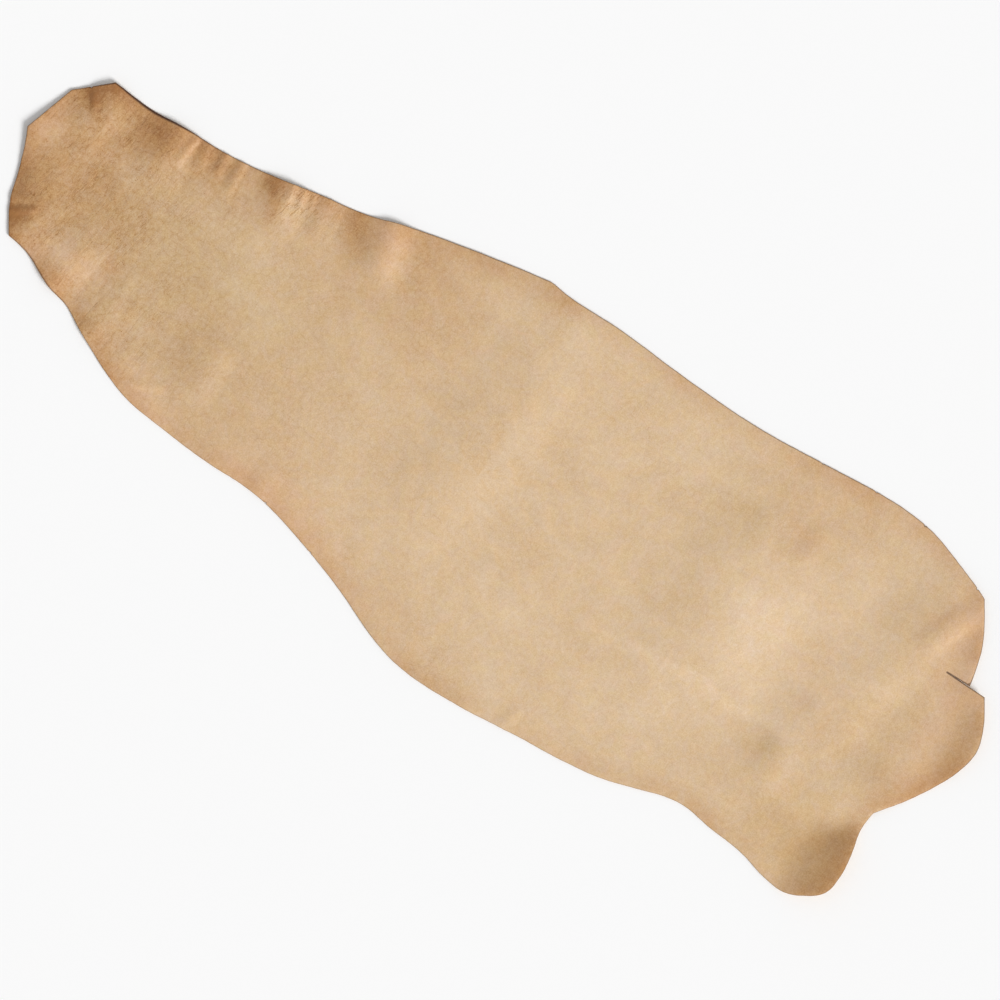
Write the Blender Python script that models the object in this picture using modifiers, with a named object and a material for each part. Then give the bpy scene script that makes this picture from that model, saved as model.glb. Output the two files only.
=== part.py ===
"""A side of vegetable-tanned leather: half a cattle hide in one piece, trimmed round its edge, grain side up.

+X runs along the hide from neck to butt, +Y across it from the belly edge to the straighter back edge, and
+Z up. The origin is under the middle of the hide, on the surface that it lies on. Lengths are in metres,
except in the tables, which are in millimetres.
"""

import math
from collections import namedtuple

import bmesh
import bpy
from mathutils import Vector, kdtree
from mathutils.geometry import delaunay_2d_cdt, interpolate_bezier

MM = 0.001
THICKNESS = 0.0028  # 7 oz leather, split and shaved to one thickness
FACET = 0.026  # spacing of the points inside the sheet
EDGE_STEP = 0.026  # longest step between points along the cut edge
EDGE_CLEARANCE = 0.015  # points inside the sheet keep this far from those on its edge
CREST_STEPS = 12  # straight steps that a ridge's curved crest is measured along

CORNER, SMOOTH = "VECTOR", "AUTO"  # the edge turns sharply at a point, or runs through it in a curve

# The cut edge, counter-clockwise seen from above. Columns: x, y and turn.
OUTLINE = {
    "neck end": [
        (-1165, 299, CORNER),
        (-1240, 231, CORNER),
        (-1278, 108, CORNER),
        (-1263, 76, SMOOTH),
        (-1243, 20, SMOOTH),
        (-1218, -58, SMOOTH),
        (-1180, -121, CORNER),
    ],
    "belly edge": [
        (-1130, -130, SMOOTH),
        (-1040, -170, SMOOTH),
        (-993, -181, SMOOTH),
        (-910, -223, SMOOTH),
        (-800, -272, SMOOTH),
        (-750, -287, SMOOTH),
        (-670, -296, SMOOTH),
        (-530, -306, SMOOTH),
        (-425, -306, SMOOTH),
        (-365, -313, SMOOTH),
        (-225, -350, SMOOTH),
        (-120, -386, SMOOTH),
        (15, -440, SMOOTH),
        (90, -457, SMOOTH),
        (200, -460, SMOOTH),
        (395, -443, SMOOTH),
        (525, -432, SMOOTH),
        (605, -419, SMOOTH),
        (690, -393, SMOOTH),
        (755, -374, SMOOTH),
        (800, -370, SMOOTH),
    ],
    "hind leg": [
        (860, -379, SMOOTH),
        (955, -388, SMOOTH),
        (1035, -407, SMOOTH),
        (1087, -410, SMOOTH),
        (1130, -390, SMOOTH),
        (1162, -362, SMOOTH),
        (1171, -325, SMOOTH),
        (1167, -260, SMOOTH),
        (1155, -195, SMOOTH),
        (1159, -151, CORNER),
    ],
    "lower butt": [
        (1211, -80, SMOOTH),
        (1247, -18, SMOOTH),
        (1270, 38, SMOOTH),
        (1278, 86, SMOOTH),
        (1264, 138, SMOOTH),
        (1226, 203, CORNER),
    ],
    "slit": [
        (1125, 204.6, CORNER),
        (1185, 205.4, CORNER),
    ],
    "upper butt": [
        (1175, 250, SMOOTH),
        (1158, 302, SMOOTH),
        (1106, 388, CORNER),
    ],
    "back edge": [
        (1082, 399, SMOOTH),
        (1012, 425, SMOOTH),
        (938, 449, SMOOTH),
        (883, 458, SMOOTH),
        (800, 460, SMOOTH),
        (637, 447, SMOOTH),
        (480, 435, SMOOTH),
        (293, 438, SMOOTH),
        (90, 450, SMOOTH),
        (-40, 450, SMOOTH),
        (-97, 456, CORNER),
        (-172, 443, SMOOTH),
        (-372, 401, SMOOTH),
        (-455, 380, SMOOTH),
        (-525, 358, SMOOTH),
        (-650, 336, SMOOTH),
        (-760, 314, SMOOTH),
        (-873, 300, SMOOTH),
        (-985, 298, SMOOTH),
        (-1060, 292, SMOOTH),
    ],
}

# The soft folds that the hide dried with. Each is a ridge whose crest runs from its start to its end, bending
# towards a point between them, and falls away over one width on its left and another on its right. A crest
# that runs just outside the edge curls that edge up.
Ridge = namedtuple("Ridge", "name start bend end left right height")
RIDGES = (
    Ridge("neck end curl", (-1275, 20), (-1300, 150), (-1320, 290), 40, 95, 10),
    Ridge("neck end roll", (-1120, -150), (-1190, 0), (-1215, 130), 70, 80, 8),
    Ridge("neck corner ruffle", (-1180, 110), (-1160, 250), (-1140, 420), 65, 75, 9),
    Ridge("neck ruffle", (-975, 130), (-992, 280), (-980, 450), 75, 55, 11),
    Ridge("throat ruffle", (-1100, -330), (-1062, -150), (-995, -20), 75, 55, 11),
    Ridge("throat dip", (-945, -340), (-922, -190), (-885, -70), 60, 65, 6),
    Ridge("shoulder ruffle", (-690, 180), (-708, 330), (-728, 490), 90, 50, 11),
    Ridge("withers ruffle", (-428, 222), (-452, 340), (-486, 520), 60, 46, 12),
    Ridge("middle roll", (-120, -260), (0, 60), (25, 480), 175, 140, 7),
    Ridge("loin roll", (655, -220), (585, 30), (655, 300), 190, 210, 8),
    Ridge("rump arc", (880, -330), (1000, 90), (1100, 490), 135, 95, 9),
    Ridge("upper butt curl", (1205, 150), (1195, 310), (1135, 450), 85, 40, 11),
    Ridge("lower butt curl", (1297, -90), (1370, 125), (1200, 320), 125, 40, 20),
    Ridge("leg root roll", (960, -160), (1090, -125), (1225, -105), 80, 100, 8),
    Ridge("leg curl", (1150, -520), (1330, -330), (1190, -150), 210, 60, 52),
)


def edge_points():
    """Points round the cut edge, in the plane, one for each of its corners and steps of at most EDGE_STEP."""
    rows = [row for stretch in OUTLINE.values() for row in stretch]
    curve = bpy.data.curves.new("cut edge", "CURVE")
    spline = curve.splines.new("BEZIER")
    spline.bezier_points.add(len(rows) - 1)
    spline.use_cyclic_u = True
    for knot, (x, y, turn) in zip(spline.bezier_points, rows):
        knot.co = (x * MM, y * MM, 0)
        knot.handle_left_type = knot.handle_right_type = turn
    knots = spline.bezier_points
    points = []
    for knot, after in zip(knots, [*knots[1:], knots[0]]):
        steps = math.ceil((after.co - knot.co).length / EDGE_STEP)
        stretch = interpolate_bezier(knot.co, knot.handle_right, after.handle_left, after.co, steps + 1)
        points += [point.to_2d() for point in stretch[:-1]]
    bpy.data.curves.remove(curve)
    return points


def inner_points(edge):
    """Points in rows over the whole box of the edge, each row half a step from the last, clear of the edge."""
    tree = kdtree.KDTree(len(edge))
    for index, point in enumerate(edge):
        tree.insert(point.to_3d(), index)
    tree.balance()
    low = Vector((min(point.x for point in edge), min(point.y for point in edge)))
    high = Vector((max(point.x for point in edge), max(point.y for point in edge)))
    row_gap = FACET * math.sqrt(0.75)
    points = []
    for row in range(math.ceil((high.y - low.y) / row_gap)):
        for column in range(math.ceil((high.x - low.x) / FACET)):
            place = low + Vector(((column + row % 2 / 2) * FACET, row * row_gap))
            if tree.find(place.to_3d())[2] > EDGE_CLEARANCE:
                points.append(place)
    return points


def crest_of(ridge):
    """The points of a ridge's crest."""
    start, bend, end = (Vector(point) * MM for point in (ridge.start, ridge.bend, ridge.end))
    return interpolate_bezier(start, start.lerp(bend, 2 / 3), end.lerp(bend, 2 / 3), end, CREST_STEPS + 1)


def rise(ridge, crest, place):
    """How high one ridge lifts the sheet at a place: nothing past its widths or at its ends."""
    nearest = None
    for step, (before, after) in enumerate(zip(crest, crest[1:])):
        along = after - before
        share = min(max((place - before).dot(along) / along.length_squared, 0), 1)
        offset = place - before - along * share
        if nearest is None or offset.length < nearest[0]:
            nearest = (offset.length, along.cross(offset), (step + share) / CREST_STEPS)
    distance, side, travel = nearest
    across = distance / (MM * (ridge.left if side > 0 else ridge.right))
    if across >= 1:
        return 0
    return MM * ridge.height * (1 - across**2) ** 2 * (1 - (2 * travel - 1) ** 4) ** 2


def hide_sheet():
    """The sheet's underside: facets that fill the cut edge, lifted by the ridges from the flat."""
    edge = edge_points()
    outline = [(index, (index + 1) % len(edge)) for index in range(len(edge))]
    inside_only = 1
    places, _, facets, *_ = delaunay_2d_cdt(edge + inner_points(edge), outline, [], inside_only, 1e-6)
    crests = [(ridge, crest_of(ridge)) for ridge in RIDGES]
    sheet = bmesh.new()
    points = [
        sheet.verts.new((*place, sum(rise(ridge, crest, place) for ridge, crest in crests)))
        for place in places
    ]
    for facet in facets:
        sheet.faces.new([points[index] for index in facet])
    bmesh.ops.delete(sheet, geom=[point for point in points if not point.link_faces], context="VERTS")
    mesh = bpy.data.meshes.new("hide")
    sheet.to_mesh(mesh)
    sheet.free()
    mesh.shade_smooth()
    return mesh


def leather():
    """Undyed grain leather: pale tan, with a dull shine."""
    material = bpy.data.materials.new("leather")
    material.use_nodes = True
    shader = material.node_tree.nodes["Principled BSDF"]
    shader.inputs["Base Color"].default_value = (0.68, 0.49, 0.31, 1)
    shader.inputs["Roughness"].default_value = 0.55
    shader.inputs["Metallic"].default_value = 0
    return material


def centre(piece):
    """Moves the sheet level, so that its origin is under the middle of its box."""
    bpy.context.view_layer.update()
    box = piece.evaluated_get(bpy.context.evaluated_depsgraph_get()).bound_box
    middle = (Vector(box[0]) + Vector(box[6])) / 2
    for point in piece.data.vertices:
        point.co.xy -= middle.xy


def main():
    for old in list(bpy.data.objects):
        bpy.data.objects.remove(old)
    side = bpy.data.collections.new("leather side")
    bpy.context.scene.collection.children.link(side)
    hide = bpy.data.objects.new("hide", hide_sheet())
    side.objects.link(hide)
    hide.data.materials.append(leather())
    thickness = hide.modifiers.new("thickness", "SOLIDIFY")
    thickness.thickness = THICKNESS
    thickness.offset = 1
    centre(hide)


main()
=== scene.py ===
"""The looks of the leather side: one fine sheet on the model's folds, grain side up, on a pale floor.

The sheet follows the frame: its cut edge is the CAD sheet's, drawn finer, and its heights are the CAD
sheet's, evened out. Smaller ruffles and creases are added. +X runs from neck to butt, +Y to the back edge.
"""

import math
from collections import namedtuple

import bmesh
import bpy
import numpy as np
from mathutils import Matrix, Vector, noise
from mathutils.bvhtree import BVHTree
from mathutils.geometry import delaunay_2d_cdt
from mathutils.kdtree import KDTree


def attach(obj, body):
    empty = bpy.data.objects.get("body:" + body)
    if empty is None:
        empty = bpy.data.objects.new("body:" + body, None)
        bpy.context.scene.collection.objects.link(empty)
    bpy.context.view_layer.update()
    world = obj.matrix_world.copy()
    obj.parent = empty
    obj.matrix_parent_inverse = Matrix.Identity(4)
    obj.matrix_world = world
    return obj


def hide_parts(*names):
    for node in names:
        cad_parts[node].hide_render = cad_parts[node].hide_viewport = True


MM = 0.001
THICKNESS = 2.8 * MM
NECK = -0.55  # x where the neck begins, wrinkled towards its end
NECK_FADE = 0.45  # over which its wrinkles gain their full height

# The even rows of points inside the sheet, from one x to another: closer in the neck, for its wrinkles.
Grid = namedtuple("Grid", "start end gap")
GRIDS = (Grid(-2, NECK, 5 * MM), Grid(NECK, 2, 9 * MM))
ROW = math.sqrt(0.75)  # spacing of the rows, as a share of the gap between points, for even triangles
CLEAR = 0.6  # of that gap, kept free along the cut edge

EDGE_STEP = 3.5 * MM  # spacing of the points along the cut edge
SHARPEST_CURVE = 28  # degrees; where the CAD edge turns more than this, it has a corner
WOBBLE = 0.6 * MM  # how far the knife strayed from the line
WOBBLE_LENGTHS = (0.045, 0.013)  # of its slow and quick wobbles
ROUNDED = 0.5 * MM  # radius of the sheet's two edges

HEIGHT_STEP = 5 * MM  # spacing of the places where the CAD sheet's height is read
HEIGHT_MARGIN = 12  # how many of these steps lie beyond the sheet on each side
EVENING = 15 * MM  # how far the CAD heights are averaged over, so that no facet shows

TAN_DEPTH = 0.36  # of the tan, from 0, palest, to 1, deepest
NECK_DEPTH = 0.28  # how much deeper it is at the neck's end
NECK_DEPTH_START, NECK_DEPTH_FADE = -0.35, 0.9  # x where it starts to deepen, and over what length
ASTRAY, ASTRAY_SIZE = 0.022, 0.09  # how far the soft ovals' outlines stray, and over what length

# Small ruffles and creases, in millimetres. Each is a ridge whose crest runs from its start to its end,
# bending towards a point between them, and falls away over one width on its left and another on its right.
Ridge = namedtuple("Ridge", "start bend end left right height")
RIDGES = (
    # back edge of the neck and the shoulder
    Ridge((-820, 210), (-826, 290), (-830, 370), 20, 16, 3.0),
    Ridge((-862, 240), (-868, 285), (-872, 350), 16, 14, 2.5),
    Ridge((-905, 220), (-912, 280), (-915, 350), 22, 18, 2.5),
    Ridge((-948, 205), (-950, 265), (-935, 330), 20, 11, 3.0),
    Ridge((-693, 268), (-698, 308), (-706, 350), 15, 8, 2.0),
    Ridge((-664, 268), (-668, 308), (-682, 350), 14, 8, 1.8),
    Ridge((-640, 285), (-648, 320), (-655, 350), 12, 8, 1.4),
    Ridge((-605, 230), (-612, 310), (-618, 400), 36, 28, 3.0),
    Ridge((-575, 240), (-582, 300), (-590, 380), 16, 12, 1.2),
    Ridge((-1030, 300), (-1035, 325), (-1050, 350), 12, 8, 2.0),
    Ridge((-1070, 310), (-1074, 335), (-1085, 360), 12, 8, 2.0),
    # neck
    Ridge((-1215, -75), (-1185, -62), (-1150, -30), 16, 10, 3.0),
    Ridge((-1240, -50), (-1195, -35), (-1150, -5), 20, 14, 1.5),
    Ridge((-1165, 205), (-1178, 235), (-1200, 262), 12, 16, 2.5),
    Ridge((-650, -240), (-640, -140), (-655, -40), 110, 60, 4.0),
    Ridge((-790, -260), (-735, -240), (-690, -215), 20, 14, 1.5),
    # belly, back and butt
    Ridge((-400, -370), (-392, -290), (-398, -200), 45, 40, 1.8),
    Ridge((340, -470), (352, -430), (368, -380), 22, 20, 1.6),
    Ridge((600, 180), (612, 260), (606, 330), 50, 45, 1.5),
    Ridge((712, 200), (730, 280), (716, 340), 45, 40, 1.6),
    Ridge((900, -260), (918, -170), (900, -80), 60, 50, 2.0),
    Ridge((1045, 200), (1080, 290), (1125, 400), 50, 36, 3.5),
    Ridge((230, -150), (520, -134), (900, -104), 40, 22, 0.8),
)

# Where the colour is deeper or paler than around it: the tan's own tone, and in places painted shade on the
# shaded flanks of ruffles, creases and curls and painted light on their lit flanks. Columns: middle, half
# sizes and heading of a soft oval, in millimetres and degrees, then how much deeper, and how much pinker. A
# negative number is paler, or more olive.
Tone = namedtuple("Tone", "x y long wide heading deeper pinker")
TONES_AND_SHADE = (
    # neck
    Tone(-1187, 240, 26, 14, -50, 0.20, 0.0),
    Tone(-1150, 285, 30, 16, -20, 0.12, 0.3),
    # painted shade in a trough near the neck's back edge
    Tone(-1018, 250, 40, 24, 25, 0.18, 0.3),
    Tone(-1050, 215, 60, 35, 50, 0.05, 0.2),
    # painted shade in the neck crease beside the ridge there
    Tone(-1184, -56, 34, 12, 30, 0.26, 0.3),
    Tone(-1170, 45, 100, 110, 0, 0.11, 0.2),
    Tone(-1110, 150, 110, 90, 0, -0.05, 0.5),
    # paler: painted light on the neck end's curled-up edge, which faces the sun
    Tone(-1262, 150, 40, 70, 0, -0.20, 0.8),
    Tone(-1105, -115, 75, 36, 35, -0.30, 1.2),
    Tone(-995, -95, 80, 45, 60, 0.00, 0.7),
    Tone(-985, -165, 45, 25, 30, -0.10, 0.2),
    Tone(-1100, 265, 60, 30, 0, 0.07, 0.0),
    Tone(-850, -200, 60, 30, -20, 0.06, 0.0),
    Tone(-900, 30, 200, 150, 0, 0.00, -0.3),
    Tone(-700, 40, 230, 70, 0, 0.02, -0.5),
    Tone(-700, -130, 70, 45, 20, 0.09, 0.0),
    Tone(-720, 130, 110, 50, 0, -0.09, 0.0),
    # shoulder
    Tone(-420, 40, 190, 240, 0, 0.07, 0.1),
    Tone(-370, 250, 190, 90, 0, 0.09, 0.1),
    Tone(-250, -30, 50, 80, 0, -0.06, 0.0),
    Tone(-550, -200, 60, 60, 0, 0.08, 0.0),
    # back edge
    Tone(-990, 300, 200, 35, -12, 0.04, 0.7),
    # paler: painted light against the shade of the neck ruffles and the edge line here
    Tone(-1000, 288, 45, 24, -10, -0.12, 0.0),
    Tone(-890, 265, 60, 45, 0, 0.12, 0.0),
    # painted shade on the shaded flank of a small ruffle by the back edge
    Tone(-735, 290, 50, 20, -65, 0.30, 0.2),
    Tone(-640, 335, 50, 20, -15, 0.08, 1.0),
    # the next two: painted shade on the withers ruffle's shaded flank, and a pale pink painted highlight on
    # its lit flank
    Tone(-528, 325, 58, 32, -60, 0.27, 0.2),
    Tone(-455, 340, 50, 22, -65, -0.05, 1.4),
    Tone(-370, 345, 90, 40, -18, 0.12, 0.3),
    Tone(-200, 425, 130, 32, 4, 0.16, 0.2),
    Tone(5, 415, 45, 60, 0, -0.08, 0.0),
    Tone(100, 330, 35, 130, 0, 0.06, 0.0),
    Tone(430, 275, 150, 45, 0, -0.06, 0.0),
    Tone(660, 375, 110, 50, 0, 0.09, 0.2),
    Tone(760, 440, 130, 25, -5, 0.05, 0.4),
    Tone(1080, 310, 50, 60, 0, 0.12, 0.2),
    # belly
    Tone(-710, -285, 100, 36, -25, -0.12, 1.2),
    Tone(-450, -300, 60, 30, 0, 0.02, 1.0),
    Tone(-370, -270, 45, 50, 0, 0.08, 0.2),
    Tone(-280, -330, 120, 50, -25, 0.02, 1.0),
    Tone(0, -370, 110, 40, -15, 0.08, 0.2),
    # butt
    Tone(700, 265, 60, 60, 0, 0.09, 0.1),
    Tone(715, 90, 75, 130, 0, -0.11, 0.2),
    Tone(730, -110, 110, 70, 0, -0.05, 0.0),
    # a pale crease line: partly a real pale mark, partly painted light on the crease's lit side
    Tone(620, -126, 200, 11, 4, -0.09, 0.2),
    Tone(985, 40, 110, 10, 58, -0.05, 0.2),
    # painted shade on the shaded flank of the small ridge beside it
    Tone(545, 250, 60, 70, 0, 0.08, -0.3),
    # painted shade on the shaded flank of a small ridge
    Tone(706, 292, 36, 22, 60, 0.06, 0.3),
    Tone(880, -170, 34, 26, 40, 0.10, -0.3),
    Tone(895, -31, 14, 14, 0, 0.08, 0.0),
    Tone(810, -150, 50, 120, 0, 0.06, 0.0),
    Tone(990, -50, 45, 70, 0, 0.08, 0.0),
    Tone(1085, 60, 60, 150, 0, 0.10, -0.3),
    # paler and pinker: painted light on the lit flank of the fold near the back edge
    Tone(1130, 300, 50, 90, 20, -0.03, 1.0),
    Tone(1180, 120, 40, 140, 0, 0.06, 1.0),
    Tone(1155, -85, 50, 38, 45, 0.12, 0.0),
    Tone(1195, -25, 40, 32, 50, -0.08, 0.2),
    Tone(1185, 55, 28, 40, 0, -0.07, 0.0),
    Tone(1165, 225, 30, 22, 0, -0.10, 0.0),
    # painted shade on the butt's right rim, which curls up away from the sun
    Tone(1245, 5, 34, 105, -8, 0.21, 1.0),
    # the next two: painted shade on the leg's curled end, and a line of painted shade along the crease
    # where it rises
    Tone(1150, -300, 75, 50, 75, 0.17, 0.7),
    Tone(1105, -262, 60, 16, 42, 0.10, 0.3),
    Tone(1035, -392, 70, 22, 0, -0.11, 0.2),
    Tone(1060, -310, 80, 70, 0, 0.06, 0.4),
    Tone(990, -300, 45, 60, 0, 0.08, -0.3),
    Tone(905, 40, 45, 110, 0, -0.10, 0.5),
    # painted shade along the shaded flank of the fold near the back edge
    Tone(1068, 318, 60, 12, 61, 0.08, 0.0),
    Tone(540, -255, 80, 50, 0, -0.07, 0.0),
)

# Where a broad dark line of painted shade lies along the cut edge: the neck's raised back edge and a
# stretch of its lower edge, whose cut faces are in shadow, and the slit's shadowed gap. Soft ovals whose
# sixth column is the strength.
SHADED_EDGES = (
    Tone(-1061, 290, 70, 40, 0, 1.0, 0),
    Tone(-1090, -170, 80, 60, -50, 0.5, 0),
    Tone(1152, 205, 45, 12, 0, 0.25, 0),
)

# Where the grain is finely wrinkled, as soft ovals of the same kind.
WRINKLED = (
    Tone(-675, 295, 38, 34, 0, 2.0, 0),
    Tone(-560, 320, 60, 30, 0, 0.5, 0),
    Tone(-430, 290, 60, 60, 0, 0.5, 0),
    Tone(-1130, 20, 110, 130, 0, 0.35, 0),
    Tone(-900, 130, 110, 70, 0, 0.35, 0),
    Tone(-700, -130, 130, 60, 20, 0.5, 0),
    Tone(-1150, 240, 60, 40, 0, 0.4, 0),
)

# Where shade falls on the curled leg and on the butt's curled right rim, painted as a more golden tan, as
# soft ovals of the same kind.
GOLDEN_SHADE = (
    Tone(1090, -310, 90, 75, 0, 1.0, 0),
    Tone(1245, 20, 40, 100, 0, 0.4, 0),
)

# Where the knife slipped inwards, in millimetres.
Nick = namedtuple("Nick", "x y depth")
NICKS = (
    Nick(1082, 399, 3), Nick(905, 455, 3), Nick(771, 460, 2), Nick(637, 447, 2),
    Nick(-368, -313, 3), Nick(-225, -350, 2), Nick(-1207, 262, 3),
)


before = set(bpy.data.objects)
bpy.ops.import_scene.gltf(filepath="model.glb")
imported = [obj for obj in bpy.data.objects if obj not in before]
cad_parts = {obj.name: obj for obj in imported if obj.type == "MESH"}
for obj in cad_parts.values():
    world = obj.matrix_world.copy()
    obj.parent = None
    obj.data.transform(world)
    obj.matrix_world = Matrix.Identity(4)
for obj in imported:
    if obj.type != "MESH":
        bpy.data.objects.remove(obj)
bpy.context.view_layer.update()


# ---------------------------------------------------------------- shape


def underside():
    """The CAD sheet's underside, as an open mesh."""
    sheet = bmesh.new()
    sheet.from_mesh(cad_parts["hide"].data)
    bmesh.ops.remove_doubles(sheet, verts=sheet.verts, dist=0.01 * MM)
    sheet.normal_update()
    others = [face for face in sheet.faces if face.normal.z > -0.5]  # the grain side and the cut edge
    bmesh.ops.delete(sheet, geom=others, context="FACES")
    return sheet


def rim_points(sheet):
    """The points round an open sheet's rim, counter-clockwise from above, starting at a corner."""
    links = {}
    for edge in sheet.edges:
        if edge.is_boundary:
            for point in edge.verts:
                links.setdefault(point, []).append(edge.other_vert(point))
    start = next(iter(links))
    ring = [start, links[start][0]]
    while True:
        onward = next(point for point in links[ring[-1]] if point != ring[-2])
        if onward == start:
            break
        ring.append(onward)
    points = np.array([point.co.xy for point in ring])
    after = np.roll(points, -1, axis=0)
    if (points[:, 0] * after[:, 1] - after[:, 0] * points[:, 1]).sum() < 0:
        points = points[::-1]
    return np.roll(points, -np.flatnonzero(corners_of(points))[0], axis=0)


def corners_of(points):
    """Which points of a closed ring are corners."""
    before = points - np.roll(points, 1, axis=0)
    after = np.roll(points, -1, axis=0) - points
    heading = [np.arctan2(step[:, 1], step[:, 0]) for step in (before, after)]
    turn = np.degrees(np.abs(heading[1] - heading[0]))
    return np.minimum(turn, 360 - turn) > SHARPEST_CURVE


def curve_through(points):
    """Points EDGE_STEP apart on a smooth curve through the given ones, without the last."""
    along = np.concatenate([[0], np.cumsum(np.linalg.norm(np.diff(points, axis=0), axis=1))])
    slope = np.gradient(points, along, axis=0)
    at = np.linspace(0, along[-1], math.ceil(along[-1] / EDGE_STEP) + 1)[:-1]
    piece = np.clip(np.searchsorted(along, at, side="right") - 1, 0, len(along) - 2)
    span = (along[piece + 1] - along[piece])[:, None]
    share = (at - along[piece])[:, None] / span
    return (
        points[piece] * (1 + 2 * share) * (1 - share) ** 2
        + slope[piece] * span * share * (1 - share) ** 2
        + points[piece + 1] * share**2 * (3 - 2 * share)
        + slope[piece + 1] * span * share**2 * (share - 1)
    )


def knife_marks(edge):
    """How far inwards each point of the cut edge lies: a slight wobble, and the nicks."""
    travel = np.arange(len(edge)) * EDGE_STEP
    slow, quick = WOBBLE_LENGTHS
    wobble = [noise.noise((s / slow, 3.7, 0)) + 0.6 * noise.noise((s / quick, 8.1, 0)) for s in travel]
    depth = WOBBLE * np.array(wobble)
    for nick in NICKS:
        away = np.linalg.norm(edge - np.array((nick.x, nick.y)) * MM, axis=1)
        depth[np.argmin(away)] += nick.depth * MM
    return depth


def cut_edge(sheet):
    """The cut edge, finely drawn: the CAD sheet's rim as smooth curves between its corners."""
    rim = rim_points(sheet)
    starts = [*np.flatnonzero(corners_of(rim)), len(rim)]
    ring = np.vstack([rim, rim[:1]])
    edge = np.vstack([curve_through(ring[a : b + 1]) for a, b in zip(starts, starts[1:])])
    along = np.roll(edge, -1, axis=0) - np.roll(edge, 1, axis=0)
    along /= np.linalg.norm(along, axis=1)[:, None]
    inward = np.stack([-along[:, 1], along[:, 0]], axis=1)
    return edge + inward * knife_marks(edge)[:, None]


def tree_of(points):
    """A tree that finds the nearest of these points of the plane."""
    tree = KDTree(len(points))
    for index, point in enumerate(points):
        tree.insert((*point, 0), index)
    tree.balance()
    return tree


def filled(edge):
    """The points and triangles that fill the cut edge, in even rows."""
    low, high = edge.min(axis=0), edge.max(axis=0)
    tree = tree_of(edge)
    inside = []
    for start, end, gap in GRIDS:
        start, end = max(start, low[0]), min(end, high[0])
        rows = math.ceil((high[1] - low[1]) / gap / ROW)
        columns = math.ceil((end - start) / gap)
        row, column = (grid.ravel() for grid in np.mgrid[0:rows, 0:columns])
        places = np.stack([start + (column + row % 2 / 2) * gap, low[1] + row * gap * ROW], axis=1)
        inside.append(places[[tree.find((*place, 0))[2] > CLEAR * gap for place in places]])
    points = [Vector(point) for point in np.vstack([edge, *inside])]
    outline = [(index, (index + 1) % len(edge)) for index in range(len(edge))]
    inside_only, nearest_apart = 1, 1e-7
    points, _, triangles, *_ = delaunay_2d_cdt(points, outline, [], inside_only, nearest_apart)
    used, triangles = np.unique(np.array(triangles), return_inverse=True)
    return np.array(points)[used], triangles.reshape(-1, 3)


def cad_heights(sheet, points):
    """The height of the CAD sheet's underside at each point, averaged over the points around it."""
    tree = BVHTree.FromBMesh(sheet)
    upwards = Vector((0, 0, 1))
    low = points.min(axis=0) - HEIGHT_MARGIN * HEIGHT_STEP
    columns, rows = np.ceil((points.max(axis=0) - low) / HEIGHT_STEP).astype(int) + HEIGHT_MARGIN
    heights = np.empty((columns, rows))
    for column, row in np.ndindex(columns, rows):
        x, y = low + np.array((column, row)) * HEIGHT_STEP
        hit = tree.ray_cast((x, y, -1), upwards)[0] or tree.find_nearest((x, y, 0))[0]
        heights[column, row] = hit.z
    reach = round(3 * EVENING / HEIGHT_STEP)
    steps = np.arange(-reach, reach + 1)
    weights = np.exp(-((steps * HEIGHT_STEP / EVENING) ** 2) / 2)
    weights /= weights.sum()
    for axis in (0, 1):
        heights = sum(weight * np.roll(heights, step, axis) for weight, step in zip(weights, steps))
    place = (points - low) / HEIGHT_STEP
    column, row = np.floor(place).astype(int).T
    right, up = (place % 1).T
    lower = heights[column, row] * (1 - right) + heights[column + 1, row] * right
    upper = heights[column, row + 1] * (1 - right) + heights[column + 1, row + 1] * right
    return lower * (1 - up) + upper * up


def ridge_heights(points):
    """What the small ruffles and creases add at each point."""
    total = np.zeros(len(points))
    share = np.linspace(0, 1, 9)[:, None]
    for ridge in RIDGES:
        start, bend, end = (np.array(point) * MM for point in (ridge.start, ridge.bend, ridge.end))
        crest = start * (1 - share) ** 2 + 2 * bend * share * (1 - share) + end * share**2
        nearest = np.full(len(points), np.inf)
        travel, left_side = np.zeros(len(points)), np.zeros(len(points), bool)
        for step, (before, after) in enumerate(zip(crest, crest[1:])):
            along = after - before
            part = np.clip((points - before) @ along / (along @ along), 0, 1)
            offset = points - before - part[:, None] * along
            distance = np.linalg.norm(offset, axis=1)
            closer = distance < nearest
            nearest[closer] = distance[closer]
            travel[closer] = ((step + part) / (len(crest) - 1))[closer]
            left_side[closer] = (along[0] * offset[:, 1] - along[1] * offset[:, 0] > 0)[closer]
        across = np.minimum(nearest / (MM * np.where(left_side, ridge.left, ridge.right)), 1)
        total += MM * ridge.height * (1 - across**2) ** 2 * (1 - (2 * travel - 1) ** 4) ** 2
    return total


def cockle(points, rim):
    """The slight unevenness all over a hide that dried flat, stronger in the neck and along the edge."""
    heights = []
    for (x, y), distance in zip(points, rim):
        broad = 0.5 + noise.noise((x / 0.17, y / 0.20, 1.3))
        neck = min(max((NECK - x) / NECK_FADE, 0), 1)
        wrinkles = noise.noise((x / 0.026, y / 0.11, 5.2)) * (0.12 + 0.5 * neck)
        near_edge = math.exp(-distance / 0.035)
        edge = max(noise.noise((x / 0.05, y / 0.05, 9.4)), -0.1) * near_edge * (0.6 + 1.6 * neck)
        heights.append(max(0.8 * broad + wrinkles + edge, 0) * MM)
    return np.array(heights)


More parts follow.
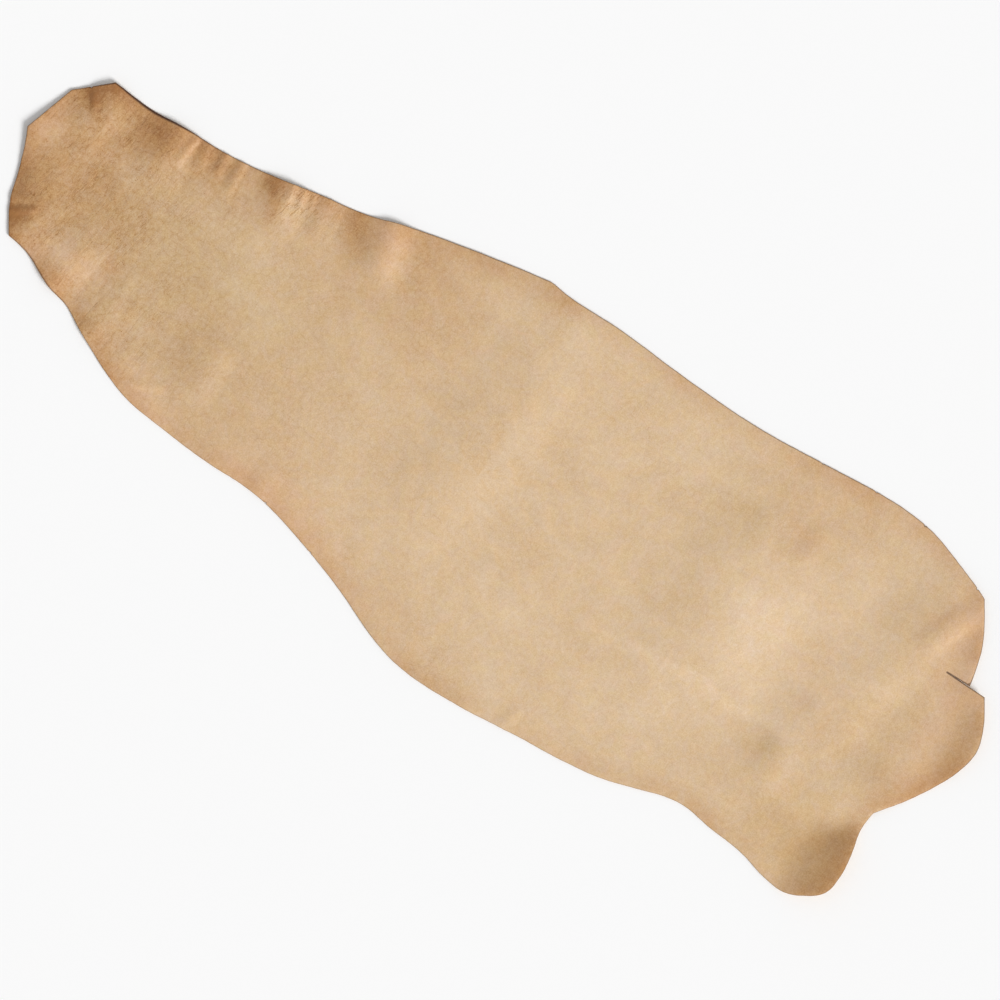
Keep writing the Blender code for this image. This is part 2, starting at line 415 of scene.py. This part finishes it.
def soft_ovals(points, tones):
    """How much deeper and pinker a table of soft ovals makes each point. Their outlines stray a little."""
    deeper, pinker = np.zeros(len(points)), np.zeros(len(points))
    astray = [[noise.noise((x / ASTRAY_SIZE, y / ASTRAY_SIZE, z)) for z in (4.4, 8.8)] for x, y in points]
    points = points + np.array(astray) * ASTRAY
    for tone in tones:
        angle = math.radians(tone.heading)
        away = points - np.array((tone.x, tone.y)) * MM
        along = away @ np.array((math.cos(angle), math.sin(angle))) / (tone.long * MM)
        across = away @ np.array((-math.sin(angle), math.cos(angle))) / (tone.wide * MM)
        fade = np.exp(-(along**2 + across**2) / 2)
        deeper += tone.deeper * fade
        pinker += tone.pinker * fade
    return deeper, pinker


def smooth(values):
    """0 below 0, 1 above 1, and a soft step between."""
    values = np.clip(values, 0, 1)
    return values * values * (3 - 2 * values)


def add_attributes(mesh, points, rim):
    """What the grain goes by at each point: the distance from the cut edge, and the soft ovals."""
    deeper, pinker = soft_ovals(points, TONES_AND_SHADE)
    deeper += TAN_DEPTH + NECK_DEPTH * smooth((NECK_DEPTH_START - points[:, 0]) / NECK_DEPTH_FADE)
    attributes = {"rim": rim, "depth": deeper, "pink": pinker}
    for name, ovals in {"shaded_edge": SHADED_EDGES, "wrinkled": WRINKLED, "golden": GOLDEN_SHADE}.items():
        attributes[name], _ = soft_ovals(points, ovals)
    for name, values in attributes.items():
        mesh.attributes.new(name, "FLOAT", "POINT").data.foreach_set("value", values.astype(np.float32))


def thicken(piece):
    """Give the sheet its thickness, upwards, with a cut edge between two rounded ones."""
    thickness = piece.modifiers.new("thickness", "SOLIDIFY")
    thickness.thickness = THICKNESS
    thickness.offset = 1
    thickness.material_offset = 1
    thickness.material_offset_rim = 2
    rounded = piece.modifiers.new("rounded", "BEVEL")
    rounded.width = ROUNDED
    rounded.segments = 2
    rounded.miter_outer = "MITER_ARC"
    rounded.limit_method = "ANGLE"
    rounded.angle_limit = math.radians(50)


def leather_side():
    """The sheet: its underside on the CAD sheet's folds, thickened upwards, in its three materials."""
    sheet = underside()
    edge = cut_edge(sheet)
    points, triangles = filled(edge)
    tree = tree_of(edge)
    rim = np.array([tree.find((*point, 0))[2] for point in points])
    heights = cad_heights(sheet, points) + ridge_heights(points) + cockle(points, rim)
    sheet.free()
    mesh = bpy.data.meshes.new("leather_side")
    mesh.from_pydata(np.column_stack([points, heights]).tolist(), [], triangles.tolist())
    add_attributes(mesh, points, rim)
    mesh.shade_smooth()
    for material in (grain(), flesh(), cut()):
        mesh.materials.append(material)
    piece = bpy.data.objects.new("leather_side", mesh)
    bpy.context.scene.collection.objects.link(piece)
    thicken(piece)
    return piece


# ---------------------------------------------------------------- materials


def rgb(red, green, blue):
    """A colour given by its everyday 0 to 255 values."""
    shares = [value / 255 for value in (red, green, blue)]
    return (*((share / 12.92 if share < 0.04 else ((share + 0.055) / 1.055) ** 2.4) for share in shares), 1)


class Finish:
    """A material, with short ways to add nodes to it. They take numbers, colours and sockets."""

    def __init__(self, name, dimensions="2D"):
        self.dimensions = dimensions
        self.material = bpy.data.materials.new(name)
        self.material.use_nodes = True
        self.tree = self.material.node_tree
        self.shader = self.tree.nodes["Principled BSDF"]
        self.place = self.add("ShaderNodeTexCoord").outputs["Object"]

    def add(self, kind, values=None, **settings):
        node = self.tree.nodes.new(kind)
        for name, value in settings.items():
            setattr(node, name, value)
        for name, value in (values or {}).items():
            self.give(node.inputs[name], value)
        return node

    def give(self, socket, value):
        if isinstance(value, bpy.types.NodeSocket):
            self.tree.links.new(value, socket)
        else:
            socket.default_value = value

    def set(self, **values):
        """Set the shader's own inputs, named with _ for each space."""
        for name, value in values.items():
            self.give(self.shader.inputs[name.replace("_", " ")], value)

    def attribute(self, name):
        return self.add("ShaderNodeAttribute", attribute_name=name).outputs["Fac"]

    def maths(self, operation, a, b=0.0, c=0.0, clamp=False):
        node = self.add("ShaderNodeMath", {0: a, 1: b, 2: c}, operation=operation, use_clamp=clamp)
        return node.outputs[0]

    def times(self, a, b):
        return self.maths("MULTIPLY", a, b)

    def plus(self, base, value, factor, clamp=False):
        """base, plus a value times a factor."""
        return self.maths("MULTIPLY_ADD", value, factor, base, clamp)

    def varied(self, base, pattern, factor):
        """base, plus what a pattern has above its mean of 0.5, times a factor."""
        return self.plus(base, self.maths("SUBTRACT", pattern, 0.5), factor)

    def stretched(self, x, y, z, turn=0.0):
        """Coordinates for a pattern with features this long each way, in metres, turned by some degrees."""
        values = {"Vector": self.place, "Scale": (x, y, z), "Rotation": (0, 0, math.radians(turn))}
        return self.add("ShaderNodeMapping", values, vector_type="TEXTURE").outputs[0]

    def bent(self, scale, reach):
        """Coordinates that a noise shifts by up to reach, in metres, to bend another pattern."""
        values = {"Vector": self.place, "Scale": scale}
        colour = self.add("ShaderNodeTexNoise", values, noise_dimensions="2D").outputs["Color"]
        shift = self.scaled(colour, reach)
        return self.add("ShaderNodeVectorMath", {0: shift, 1: self.place}, operation="ADD").outputs[0]

    def noise(self, scale, detail=2.0, roughness=0.5, distortion=0.0, vector=None):
        values = {
            "Vector": vector or self.place,
            "Scale": scale,
            "Detail": detail,
            "Roughness": roughness,
            "Distortion": distortion,
        }
        return self.add("ShaderNodeTexNoise", values, noise_dimensions=self.dimensions).outputs["Fac"]

    def cells(self, scale, feature="F1", vector=None):
        values = {"Vector": vector or self.place, "Scale": scale}
        node = self.add("ShaderNodeTexVoronoi", values, feature=feature, voronoi_dimensions=self.dimensions)
        return node.outputs["Distance"]

    def between(self, value, low, high, to_low=0.0, to_high=1.0):
        """A value, spread smoothly from one range to another."""
        values = {"Value": value, "From Min": low, "From Max": high, "To Min": to_low, "To Max": to_high}
        return self.add("ShaderNodeMapRange", values, interpolation_type="SMOOTHSTEP").outputs["Result"]

    def ramp(self, value, stops):
        """The colour that a value has between stops, each a position and a colour."""
        node = self.add("ShaderNodeValToRGB", {"Fac": value})
        elements = node.color_ramp.elements
        for _ in stops[2:]:
            elements.new(0.5)
        for element, (position, colour) in zip(elements, stops):
            element.position = position
            element.color = colour
        return node.outputs["Color"]

    def mix(self, share, a, b, kind="MIX"):
        node = self.add("ShaderNodeMix", {0: share, 6: a, 7: b}, data_type="RGBA", blend_type=kind)
        return node.outputs[2]

    def scaled(self, colour, factor):
        """A colour or shift, times a number."""
        return self.add("ShaderNodeVectorMath", {0: colour, "Scale": factor}, operation="SCALE").outputs[0]

    def bump(self, height, depth):
        """Relief whose height of 1 stands for depth, in metres."""
        node = self.add("ShaderNodeBump", {"Height": height, "Distance": depth})
        self.set(Normal=node.outputs[0])


def creases(f, neck, patches):
    """Fine wrinkles, in patches of the neck and where WRINKLED says, and the neck's longer folds."""
    strokes = f.noise(1, 3, 0.65, 0.6, f.stretched(0.0042, 0.018, 0.01, -14))
    share = f.plus(f.attribute("wrinkled"), f.between(patches, 0.40, 0.66), f.times(neck, 0.7))
    wrinkle = f.times(f.between(strokes, 0.52, 0.30), share)
    lines = f.noise(1, 2, 0.5, 0.5, f.stretched(0.028, 0.16, 0.05, -6))
    from_line = f.maths("ABSOLUTE", f.maths("SUBTRACT", lines, 0.5))
    return wrinkle, f.times(f.between(from_line, 0.14, 0.0), neck)


def veins_and_pores(f, x, neck):
    """Faint veins, mostly in the neck half, and scattered pores, mostly in the neck."""
    veins = f.between(f.cells(52, "DISTANCE_TO_EDGE", f.bent(9, 0.05)), 0.09, 0.0)
    veins = f.times(veins, f.between(f.plus(f.noise(6, 2), x, -0.15), 0.46, 0.66))
    pores = f.between(f.cells(120), 0.16, 0.06)
    chosen = f.between(f.noise(45, 2), 0.56, 0.70)
    return veins, f.times(pores, f.times(chosen, f.plus(0.2, neck, 0.8)))


def tinted(f, colour, warm):
    """A colour made pinker or more olive, and more or less golden, in drifting patches."""
    pink = f.plus(f.attribute("pink"), warm, 0.45)
    pink = f.between(f.varied(pink, f.noise(30, 4, 0.65, 0.6), 2.2), -2.5, 2.5)
    olive_to_pink = [(0.0, (0.95, 1.0, 0.93, 1)), (0.5, (1, 1, 1, 1)), (1.0, (1.07, 0.97, 0.95, 1))]
    colour = f.mix(1.0, colour, f.ramp(pink, olive_to_pink), "MULTIPLY")
    golden = f.between(f.noise(28, 4, 0.7, 0.4), 0.3, 0.7)
    # the golden ovals are a painted warm shade on the leg's curl and the butt's right rim
    golden = f.times(f.plus(golden, f.attribute("golden"), 0.9), 0.6)
    cool_to_golden = [(0.0, (0.99, 1.0, 1.07, 1)), (0.6, (1.01, 1.0, 0.93, 1)), (1.0, (1.03, 1.0, 0.85, 1))]
    return f.mix(1.0, colour, f.ramp(golden, cool_to_golden), "MULTIPLY")


def edge_shade_line(f, y, rim):
    """How strongly the line of painted shade along the cut edge shows, standing for its cut face in shadow:
    most at the back, the side away from the sun, and where the shaded-edge ovals say.
    """
    extra_edge_shade = f.attribute("shaded_edge")
    width = f.plus(0.0022, extra_edge_shade, 0.0065)
    line = f.between(f.maths("DIVIDE", rim, width), 1.0, 0.3)
    strength = f.plus(0.35, f.between(y, -0.1, 0.1), 0.30)
    return f.times(line, f.plus(strength, extra_edge_shade, 0.6, clamp=True))


def grain():
    """Undyed grain: pale tan, deeper towards neck and edges, mottled, pored, and wrinkled in the neck, with
    painted shade along the cut edge, in creases and on shaded folds, and painted light on lit ones.
    """
    f = Finish("grain")
    x, y, _ = f.add("ShaderNodeSeparateXYZ", {"Vector": f.place}).outputs
    rim = f.attribute("rim")
    cloud = f.noise(6, 3, 0.5)
    patches = f.noise(13, 3, 0.6)
    blotch = f.noise(24, 3, 0.6, 0.5)
    middle = f.noise(90, 3, 0.6)
    fine = f.noise(310, 3, 0.7)
    neck = f.between(f.plus(x, cloud, 0.5), -0.25, -0.75)
    wrinkle, folds = creases(f, neck, patches)
    veins, pores = veins_and_pores(f, x, neck)

    warm = f.between(f.maths("ADD", f.plus(rim, blotch, 0.05), -0.025), 0.060, 0.0)
    warm = f.times(warm, f.between(f.plus(f.noise(5, 3, 0.6), neck, 0.15), 0.28, 0.72, 0.25, 1.3))
    # this depth also holds the ovals' painted shade and painted light, besides the tan
    depth = f.plus(f.attribute("depth"), warm, 0.15)
    depth = f.varied(depth, cloud, 0.16)
    mottling = (  # each pattern, its share in the depth of the tan, and how much more that is in the neck
        (patches, 0.03, 0.24),
        (blotch, 0.13, 0.04),
        (middle, 0.26, 0.06),
        (fine, 0.54, -0.06),
    )
    for pattern, share, more in mottling:
        depth = f.varied(depth, pattern, f.plus(share, neck, more))
    # Wrinkles and folds also darken the colour in their creases, as painted shade; veins and pores are the
    # grain's own marks.
    for marks_and_shade, share in ((wrinkle, 0.13), (folds, 0.02), (veins, 0.07), (pores, 0.35)):
        depth = f.plus(depth, marks_and_shade, share)
    colour = f.ramp(
        depth,
        [
            (0.00, rgb(240, 218, 192)),
            (0.25, rgb(223, 195, 160)),
            (0.50, rgb(206, 173, 134)),
            (0.75, rgb(186, 145, 99)),
            (1.00, rgb(156, 109, 62)),
        ],
    )
    colour = tinted(f, colour, warm)
    # painted shade: a dark brown line along the cut edge, for its cut face in shadow
    colour = f.mix(edge_shade_line(f, y, rim), colour, rgb(70, 40, 22))
    f.set(Base_Color=colour, Roughness=f.plus(0.46, middle, 0.14))
    f.shader.inputs["Specular IOR Level"].default_value = 0.38

    height = f.plus(f.times(middle, 0.45), f.cells(640), 0.18)
    for pattern, share in ((fine, 0.35), (wrinkle, -0.38), (folds, -0.28)):
        height = f.plus(height, pattern, share)
    f.bump(height, 0.0006)
    return f.material


def flesh():
    """The flesh side: pale, napped like suede, with loose fibres all one way."""
    f = Finish("flesh")
    nap = f.noise(1, 4, 0.65, 0.8, f.stretched(0.007, 0.002, 0.003, 8))
    cloud = f.noise(9, 4, 0.6)
    colour = f.mix(f.between(cloud, 0.3, 0.7), rgb(196, 164, 126), rgb(214, 186, 150))
    f.set(Base_Color=f.scaled(colour, f.plus(0.83, nap, 0.34)))
    f.shader.inputs["Roughness"].default_value = 0.95
    f.shader.inputs["Specular IOR Level"].default_value = 0.15
    f.shader.inputs["Sheen Weight"].default_value = 0.25
    f.bump(f.plus(nap, cloud, 0.5), 0.0009)
    return f.material


def cut():
    """The cut edge: packed fibres in thin layers, a little browner than the grain."""
    f = Finish("cut_edge", "3D")
    fibres = f.noise(1, 3, 0.7, 0.3, f.stretched(0.004, 0.004, 0.0006))
    f.set(Base_Color=f.mix(f.between(fibres, 0.3, 0.7), rgb(132, 94, 62), rgb(186, 146, 106)))
    f.shader.inputs["Roughness"].default_value = 0.85
    f.shader.inputs["Specular IOR Level"].default_value = 0.2
    f.bump(fibres, 0.0005)
    return f.material


# ---------------------------------------------------------------- stage

VIEW_WIDTH = 2.25  # of the floor, across the picture
VIEW_MIDDLE = (0.0707, -0.0179)  # the floor point at the picture's centre
VIEW_TURN = 33  # degrees from the hide's length to the picture's foot
LENS, SENSOR = 200, 36

LIGHT_HEADING, LIGHT_HEIGHT = -12, 32  # degrees round from +X, and above the floor
SUN_SHARE = 0.52  # how bright the sun alone makes a white floor, where 1 is white
SUN_ANGLE = 25  # degrees across, so that its shadows are soft
OVERHEAD = 0.98 - SUN_SHARE  # strength of the surrounding overhead
HORIZON = 0.93  # and at the horizon
HORIZON_TOP = 0.35  # sine of the height where it has faded to the strength overhead

FLOOR_REACH = 60  # far enough to fill any view


def floor():
    """A plain, nearly white floor at z = 0."""
    mesh = bpy.data.meshes.new("floor")
    corners = [(x * FLOOR_REACH, y * FLOOR_REACH, 0) for x, y in ((-1, -1), (1, -1), (1, 1), (-1, 1))]
    mesh.from_pydata(corners, [], [(0, 1, 2, 3)])
    material = bpy.data.materials.new("floor")
    material.use_nodes = True
    shader = material.node_tree.nodes["Principled BSDF"]
    shader.inputs["Base Color"].default_value = (0.955, 0.955, 0.955, 1)
    shader.inputs["Roughness"].default_value = 0.9
    shader.inputs["Specular IOR Level"].default_value = 0.1
    mesh.materials.append(material)
    piece = bpy.data.objects.new("floor", mesh)
    bpy.context.scene.collection.objects.link(piece)


def sun():
    """A soft sun from the butt end."""
    light = bpy.data.lights.new("sun", "SUN")
    height, heading = math.radians(LIGHT_HEIGHT), math.radians(LIGHT_HEADING)
    light.energy = SUN_SHARE * math.pi / math.sin(height)
    light.angle = math.radians(SUN_ANGLE)
    lamp = bpy.data.objects.new("sun", light)
    level = math.cos(height)
    towards = Vector((math.cos(heading) * level, math.sin(heading) * level, math.sin(height)))
    lamp.rotation_euler = towards.to_track_quat("Z", "Y").to_euler()
    bpy.context.scene.collection.objects.link(lamp)


def surrounding():
    """A white surrounding, brighter low down than overhead."""
    world = bpy.data.worlds.new("studio")
    world.use_nodes = True
    tree = world.node_tree
    split = tree.nodes.new("ShaderNodeSeparateXYZ")
    fade = tree.nodes.new("ShaderNodeMapRange")
    fade.interpolation_type = "SMOOTHSTEP"
    for name, value in {"From Max": HORIZON_TOP, "To Min": HORIZON, "To Max": OVERHEAD}.items():
        fade.inputs[name].default_value = value
    tree.links.new(tree.nodes.new("ShaderNodeTexCoord").outputs["Generated"], split.inputs[0])
    tree.links.new(split.outputs["Z"], fade.inputs["Value"])
    tree.links.new(fade.outputs["Result"], tree.nodes["Background"].inputs["Strength"])
    tree.nodes["Background"].inputs["Color"].default_value = (1, 1, 1, 1)
    bpy.context.scene.world = world
    bpy.context.scene.view_settings.view_transform = "Standard"


def camera():
    """Straight above the hide, turned so that its length runs from the top left to the bottom right."""
    data = bpy.data.cameras.new("camera")
    data.lens = LENS
    data.sensor_width = SENSOR
    piece = bpy.data.objects.new("camera", data)
    piece.location = (*VIEW_MIDDLE, VIEW_WIDTH * LENS / SENSOR)
    piece.rotation_euler = (0, 0, math.radians(VIEW_TURN))
    bpy.context.scene.collection.objects.link(piece)
    bpy.context.scene.camera = piece


def main():
    camera()
    sun()
    surrounding()
    floor()
    side = leather_side()
    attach(side, "root")
    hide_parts("hide")


main()
